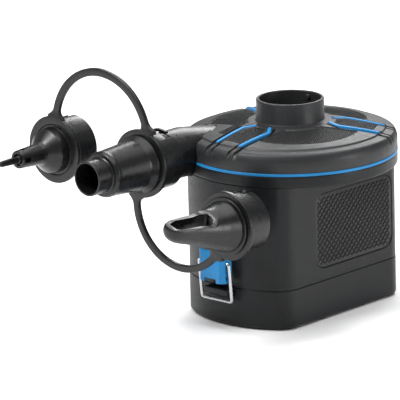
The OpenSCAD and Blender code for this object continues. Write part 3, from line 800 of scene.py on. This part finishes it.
def make_grips():
    """Textured panels: a thin rounded plate covered in small crossed ridges."""
    pitch = 2.05
    for side, node in ((-1, "grip_left"), (1, "grip_right")):
        low, high = span(node)
        levels = [(0.1, FLAT_X - 1.15), (0.05, FLAT_X - 0.95), (0.1, FLAT_X - 0.75), (0.5, FLAT_X - 0.6)]
        plate = rounded_panel("grip_plate", side, levels)
        border = rounded([(low[1] + 0.9, low[2] + 0.9), (high[1] - 0.9, low[2] + 0.9),
                          (high[1] - 0.9, high[2] - 0.9), (low[1] + 0.9, high[2] - 0.9)], 8.2, 8)
        out = Vector((side, 0, 0))
        points, faces = [], []
        for i in range(int((high[1] - low[1]) / pitch) + 1):
            for j in range(int((high[2] - low[2]) / pitch) + 1):
                y, z = low[1] + pitch * (i + 0.5), low[2] + pitch * (j + 0.5)
                tilt = 1 if (i + j) % 2 else -1
                along = Vector((0, 1, tilt)).normalized()
                wide = out.cross(along)
                centre = Vector((side * (FLAT_X - 0.7), y, z))
                if not all(inside((y + dy, z + dz), border) for dy in (-0.7, 0.7) for dz in (-0.7, 0.7)):
                    continue
                base = len(points)
                corners = [centre + along * u + wide * v for u, v in ((-1.4, -0.62), (1.4, -0.62), (1.4, 0.62),
                                                                       (-1.4, 0.62))]
                points += [tuple(c) for c in corners]
                points += [tuple(centre + along * u + out * 0.58) for u in (-0.8, 0.8)]
                faces += [[base, base + 1, base + 5, base + 4], [base + 2, base + 3, base + 4, base + 5],
                          [base + 1, base + 2, base + 5], [base + 3, base, base + 4],
                          [base + 3, base + 2, base + 1, base]]
        ridges = solid("ridges", points, faces)
        grip = merge(plate, ridges)
        grip.name = "grip_panel_" + node[5:]
        piece(shade(grip, 25), "root", "grip_plastic", MATERIALS["grip_plastic"], node)


# ---------- outlet and nozzles ----------

def make_tube():
    outline = [(PORT_R - 2, -88.5), (SPIGOT_R, -88.5), (SPIGOT_R, -73.6, 0.3), (PORT_R, -73.4, 0.3), (PORT_R, -57, 8),
               (11.2, -30), (9.2, -30), (PORT_R - 2, -57, 8)]
    tube = lathe("outlet_spout", rounded(outline, 0.5, 5), PORT, 128)
    for turn in (PIN_ANGLE, PIN_ANGLE + 180):
        a = math.radians(turn)
        out = Vector((math.sin(a), 0, math.cos(a)))
        side = Vector((out.z, 0, -out.x))
        rings = [[tuple(Vector((PORT[0], PIN_Y, PORT[1])) + out * r + side * c + Vector((0, s, 0)))
                  for c, s in disc_points(w, 20)]
                 for r, w in ((PORT_R - 1, 1.9), (PORT_R + 1.8, 1.9), (PORT_R + 2.2, 1.5))]
        tube = combine(tube, loft("tube_pin", rings), "UNION")
    return piece(shade(tube), "root", "body_plastic", MATERIALS["nozzle_plastic"], "outlet_tube", "tube_pins")


def cut_slots(nozzle, at, turned=0):
    """L-shaped bayonet slots through the skirt, on both sides."""
    for half in (turned, turned + 180):
        angles = [PIN_ANGLE + 9 - 56 * k / 18 + half for k in range(19)]
        outer, inner = [], []
        for turn in angles:
            a = math.radians(turn)
            outer.append((at[0] + 21 * math.sin(a), at[1] + 21 * math.cos(a)))
            inner.append((at[0] + 14.9 * math.sin(a), at[1] + 14.9 * math.cos(a)))
        plan = outer + inner[::-1]
        combine(nozzle, loft("slot", [[(x, y, z) for x, z in plan] for y in (PIN_Y - 2.5, PIN_Y + 2.5)]))
        a = math.radians(PIN_ANGLE + half)
        out, side = Vector((math.sin(a), 0, math.cos(a))), Vector((math.cos(a), 0, -math.sin(a)))
        rings = []
        for y in (PIN_Y - 2.4, SKIRT_BACK + 2):
            base = Vector((at[0], y, at[1]))
            rings.append([tuple(base + out * r + side * w)
                          for r, w in ((14.9, -2.5), (21, -2.5), (21, 2.5), (14.9, 2.5))])
        combine(nozzle, loft("slot_mouth", rings))
    return soften(nozzle, 0.35, 44)


RING_FRONT = RING_Y - 1.6
RING_BACK = RING_Y + 1.6
SOCKET_Y = -89


def skirt_outline(bore, front):
    """Outline shared by the nozzles: from the front bead over the neck and skirt to the socket's floor."""
    return front + [(17.4, RING_FRONT, 0.3), (15.6, RING_FRONT, 0.1), (15.6, RING_BACK, 0.1),
                    (SKIRT_R, RING_BACK, 0.6), (SKIRT_R, SKIRT_BACK, 0.6), (SKIRT_BORE, SKIRT_BACK, 0.5),
                    (SKIRT_BORE, SOCKET_Y, 0.2), (bore, SOCKET_Y, 0.5)]


def make_conical():
    front = [(9.2, -138.2, 0.35), (10.4, -138.2, 0.5), (10.3, -127.2, 0.3), (10.9, -126.6, 0.3), (12.9, -126.6, 0.8),
             (13.9, -124.6, 1.2), (13.7, -122.6, 1), (15.3, -99, 6), (17.4, -95.2, 0.8)]
    outline = skirt_outline(13, front) + [(12.8, -99, 2), (11.6, -124, 2), (9.1, -126.5, 1)]
    nozzle = lathe("conical_nozzle", rounded(outline, 0.5, 5), PORT, 128)
    cut_slots(nozzle, PORT)
    return piece(shade(nozzle), "conical", "nozzle_plastic", MATERIALS["nozzle_plastic"],
                 "nozzle_conical", "conical_sleeve", "sleeve_jaws")


def make_pinch():
    front = [(3.6, -124, 0.3), (5.5, -124, 0.8), (6.5, -107.4, 1.5), (7.2, -105.2, 1), (13.2, -99, 1.1),
             (13.7, -95, 0.8), (15.2, -94.6, 0.4)]
    outline = skirt_outline(10, front[:-1] + [(13.7, RING_FRONT + 0.6, 0.4), (15.3, RING_FRONT + 0.6, 0.2)])
    outline = [p for p in outline if p[:2] not in ((17.4, RING_FRONT), (15.6, RING_FRONT))]
    outline += [(10, -97, 2), (3.6, -104, 2)]
    nozzle = lathe("pinch_nozzle", rounded(outline, 0.5, 5), PINCH, 128)
    for a in (0, math.pi / 2):
        side = Vector((math.cos(a), 0, math.sin(a)))
        up = Vector((-side.z, 0, side.x))
        rings = [[tuple(Vector((PINCH[0], -120.3 + 1.5 * s, PINCH[1])) + side * w + up * c)
                  for c, s in disc_points(1.5, 20)] for w in (-12, 12)]
        combine(nozzle, loft("air_hole", rings))
    cut_slots(nozzle, PINCH, PINCH_TURN)
    piece(shade(nozzle), "pinch", "nozzle_plastic", MATERIALS["nozzle_plastic"], "nozzle_pinch")


def make_tongue():
    """Flat push-pin on a stem inside the pinch nozzle's barrel."""
    plan = rounded([(-2, -120), (-2, -128), (-1.6, -139, 1.3), (1.6, -139, 1.3), (2, -128), (2, -120)], 0.6, 5)
    blade = loft("tongue_blade", [[(PINCH[0] + x, y, PINCH[1] + z * k) for z, y in plan]
                                  for x, k in ((-1.2, 0.8), (-0.8, 1), (0.8, 1), (1.2, 0.8))])
    stem = [(0.4, -124.5), (2.3, -124.5, 1), (3.5, -121.5, 1), (3.5, -114.2, 0.3), (0.4, -114.2)]
    stem = lathe("tongue_stem", rounded(stem, 0.1, 4), PINCH, 48)
    tongue = combine(blade, stem, "UNION")
    tongue.name = "push_tongue"
    piece(shade(soften(tongue, 0.2)), "pinch", "nozzle_plastic", MATERIALS["nozzle_plastic"], "pinch_tongue")


# stations of the scoop: place along Y, lift of the centre, radius
SCOOP_ROWS = ((-95.2, 0, 15.4), (-98, 0.1, 14.6), (-104, 0.7, 12.9), (-112, 1.8, 11.0), (-120, 3.4, 9.3),
              (-127, 4.8, 8.4), (-132, 5.7, 7.9), (-136.5, 6.4, 7.1), (-139.8, 6.9, 5.8), (-141.8, 7.2, 4.0),
              (-142.6, 7.3, 2.0))


def scoop_ring(y, lift, r, steps=64):
    return [(SCOOP[0] + r * c, y, SCOOP[1] + lift + r * s)
            for c, s in ((math.cos(TURN * k / steps), math.sin(TURN * k / steps)) for k in range(steps))]


def make_scoop():
    rows = []
    for a, b in zip(SCOOP_ROWS, SCOOP_ROWS[1:]):
        rows += [tuple(a[i] + (b[i] - a[i]) * k / 3 for i in range(3)) for k in range(3)]
    rows.append(SCOOP_ROWS[-1])
    skin = loft("scoop_skin", [scoop_ring(*row) for row in rows])
    base = lathe("scoop_base", rounded(skirt_outline(12.4, [(12.4, -94.9), (17.4, -94.9, 0.8)]), 0.4, 5), SCOOP, 128)
    nozzle = combine(skin, base, "UNION")
    wall = 1.9
    inner = [(y, lift, r - wall) for y, lift, r in rows if r - wall > 1.5 and y > -139.5]
    inner[0] = (-94, 0, 12.4)
    hollow = loft("scoop_hollow", [scoop_ring(-88, 0, 12.4)] + [scoop_ring(*row) for row in inner])
    combine(nozzle, hollow)
    side_view = rounded([(-104, 17), (-112.5, 8.6, 4), (-150, 9.8), (-150, 32), (-104, 32)], 0.1, 6)
    tilt = math.radians(SCOOP_TILT)
    rings = [[(SCOOP[0] + w * math.cos(tilt) + h * math.sin(tilt), y,
               SCOOP[1] - w * math.sin(tilt) + h * math.cos(tilt)) for y, h in side_view] for w in (-17, 17)]
    combine(nozzle, loft("mouth", rings))
    soften(nozzle, 0.8, 40, 3)
    cut_slots(nozzle, SCOOP, SCOOP_TURN)
    nozzle.name = "scoop_nozzle"
    piece(shade(nozzle, 50), "scoop", "nozzle_plastic", MATERIALS["nozzle_plastic"], "nozzle_scoop")


# each ring of the tether: where it is and the radius of its bore
RING_BORES = ((PINCH, 15.4), (PORT, 15.9), (SCOOP, 15.9))


def make_tether():
    """Three rings joined by two bowed straps, moulded in one."""
    thick = (span("tether")[1][1] - span("tether")[0][1]) / 2
    straps = (((-68.4, 111.6), 37.8, 4.8, 8, 173), ((-5.4, 75.4), 35.4, 4.4, 172, 324))
    band = None
    for at, r in RING_BORES:
        outline = rounded([(r, RING_Y - thick), (RING_R, RING_Y - thick),
                           (RING_R, RING_Y + thick), (r, RING_Y + thick)], 0.55, 4)
        ring = lathe("ring", outline, at, 128)
        band = combine(band, ring, "UNION") if band else ring
    for (cx, cz), r, wide, start, stop in straps:
        path, widths = [], []
        count = 90
        for i in range(count + 1):
            t = i / count
            a = math.radians(start + (stop - start) * t)
            point = (cx + r * math.cos(a), RING_Y, cz + r * math.sin(a))
            path.append(point)
            near = min(math.hypot(point[0] - p[0], point[2] - p[1]) for p in (PINCH, PORT, SCOOP)) - RING_R
            flare = max(0, 1 - max(near, 0) / 5.5)
            widths.append(wide / 2 + 4.2 * flare ** 2.4)
        strap = sweep("strap", path, lambda i: pill(thick * 0.985, widths[i], 0.7),
                      lambda i: (path[i][0] - cx, 0, path[i][2] - cz))
        band = combine(band, strap, "UNION")
    for at, r in RING_BORES:
        rings = [[(at[0] + c, y, at[1] + s) for c, s in disc_points(r, 128)] for y in (RING_Y - 3, RING_Y + 3)]
        combine(band, loft("ring_bore", rings))
    band.name = "tether_strap"
    piece(shade(band), "tether", "nozzle_plastic", MATERIALS["nozzle_plastic"], "tether")


# ---------- latch ----------

def make_latch():
    lever = copy_of("latch_lever", "lever_plate", 0.4)
    piece(lever, "lever", "blue_plastic", MATERIALS["blue_plastic"], "latch_lever")
    catch = copy_of("cover_catch", "cover_hook", 0.45)
    piece(catch, "cover", "body_plastic", MATERIALS["body_plastic"], "cover_catch")
    low, high = span("latch_pin")
    y, z, r = (low[1] + high[1]) / 2, (low[2] + high[2]) / 2, (high[2] - low[2]) / 2
    rings = [[(x, y + c, z + s) for c, s in disc_points(w, 24)]
             for x, w in ((low[0], r * 0.6), (low[0] + 0.35, r), (high[0] - 0.35, r), (high[0], r * 0.6))]
    piece(shade(loft("hinge_pin", rings)), "root", "wire_steel", MATERIALS["wire_steel"], "latch_pin")


def make_bail():
    """Sprung wire loop with round bends, from one eye of the lever to the other."""
    low, high = span("latch_bail")
    wide, r = high[0] - 1, 1
    top = (-70.4, 40.3)
    foot = (-68.2, 16.4)
    corners = [(8.4, *top), (wide, *top), (wide, *foot), (-wide, *foot), (-wide, *top), (-8.4, *top)]
    path = [Vector(corners[0])]
    for before, here, after in zip(corners, corners[1:], corners[2:]):
        here = Vector(here)
        a = here + (Vector(before) - here).normalized() * 2.0
        b = here + (Vector(after) - here).normalized() * 2.0
        path += [a * (1 - t) ** 2 + here * 2 * t * (1 - t) + b * t * t for t in (k / 6 for k in range(7))]
    path.append(Vector(corners[-1]))
    path = resample([tuple(p) for p in path], 4)
    rings = []
    side = Vector((0, 1, 0.1)).normalized()
    for i, point in enumerate(path):
        a, b = Vector(path[max(i - 1, 0)]), Vector(path[min(i + 1, len(path) - 1)])
        forward = (b - a).normalized()
        out = forward.cross(side).normalized()
        lift = out.cross(forward)
        rings.append([tuple(Vector(point) + out * u + lift * v) for u, v in disc_points(r, 16)])
    piece(shade(loft("wire_bail", rings)), "bail", "wire_steel", MATERIALS["wire_steel"], "latch_bail")


def make_small_parts():
    """Parts whose CAD shape is right and only lacks softened edges."""
    for node, body, width in (("switch_knob", "switch", 0.5), ("switch_body", "root", 0.3),
                              ("intake_guard", "root", 0.2), ("impeller", "rotor", 0.25),
                              ("fan_cover", "root", 0.25)):
        slot = next(p["material_slot"] for p in frame["record"]["subparts"] if p["node"] == node)
        piece(copy_of(node, node + "_soft", width), body, slot, MATERIALS[slot], node)


# ---------- stage, light and camera ----------

def make_stage():
    mesh = bpy.data.meshes.new("floor")
    half, drop = 4.0, -0.0006
    mesh.from_pydata([(-half, -half, drop), (half, -half, drop), (half, half, drop), (-half, half, drop)],
                     [], [(0, 1, 2, 3)])
    floor = link("floor", mesh)
    material = bpy.data.materials.new("pale_floor")
    material.use_nodes = True
    shader = material.node_tree.nodes["Principled BSDF"]
    shader.inputs["Base Color"].default_value = (0.9, 0.9, 0.9, 1)
    shader.inputs["Roughness"].default_value = 0.9
    mesh.materials.append(material)
    world = bpy.data.worlds.new("studio")
    bpy.context.scene.world = world
    world.use_nodes = True
    world.node_tree.nodes["Background"].inputs["Color"].default_value = (0.96, 0.97, 1, 1)
    world.node_tree.nodes["Background"].inputs["Strength"].default_value = 0.3
    bpy.context.scene.view_settings.view_transform = "Standard"
    bpy.context.scene.view_settings.look = "None"


def soft_light(name, place, aim, size, power):
    data = bpy.data.lights.new(name, "AREA")
    data.shape = "RECTANGLE"
    data.size, data.size_y = size
    data.energy = power
    lamp = bpy.data.objects.new(name, data)
    bpy.context.scene.collection.objects.link(lamp)
    lamp.location = place
    lamp.rotation_euler = (Vector(aim) - Vector(place)).to_track_quat("-Z", "Y").to_euler()


def make_lights():
    soft_light("ceiling", (0, 0, 2.4), (0, 0, 0), (3.2, 3.2), 88)
    soft_light("key", (-0.25, -0.75, 1.0), (-0.03, -0.06, 0.08), (0.35, 0.35), 10)
    soft_light("corner", (0.8, 0.24, 0.16), (0.03, -0.03, 0.05), (0.2, 0.3), 2)
    soft_light("rear", (-0.5, 0.9, 0.7), (0, 0, 0.1), (0.7, 0.3), 6)


def make_camera():
    """Camera at the product view: slightly from the right and above."""
    azimuth, elevation, roll = (math.radians(v) for v in (43.01, 14.90, -1.446))
    distance = 2.6
    right = Vector((math.cos(azimuth), math.sin(azimuth), 0))
    back = Vector((math.sin(azimuth) * math.cos(elevation), -math.cos(azimuth) * math.cos(elevation),
                   math.sin(elevation)))
    up = back.cross(right)
    right, up = right * math.cos(roll) + up * math.sin(roll), up * math.cos(roll) - right * math.sin(roll)
    aim = Vector((0, 0, 0.060)) - right * 0.05539 + up * 0.002715
    data = bpy.data.cameras.new("camera")
    data.lens = 388.8
    data.sensor_width = 36
    camera = bpy.data.objects.new("camera", data)
    bpy.context.scene.collection.objects.link(camera)
    camera.matrix_world = Matrix.Translation(aim + back * distance) @ Matrix((right, up, back)).transposed().to_4x4()
    bpy.context.scene.camera = camera


make_stage()
make_lights()
make_camera()
finish_cad_nodes()
make_housing()
make_lug()
make_cover()
make_lid()
make_lid_texture()
make_bars()
make_collar()
make_trim()
make_grips()
make_tube()
make_conical()
make_pinch()
make_tongue()
make_scoop()
make_tether()
make_latch()
make_bail()
make_small_parts()
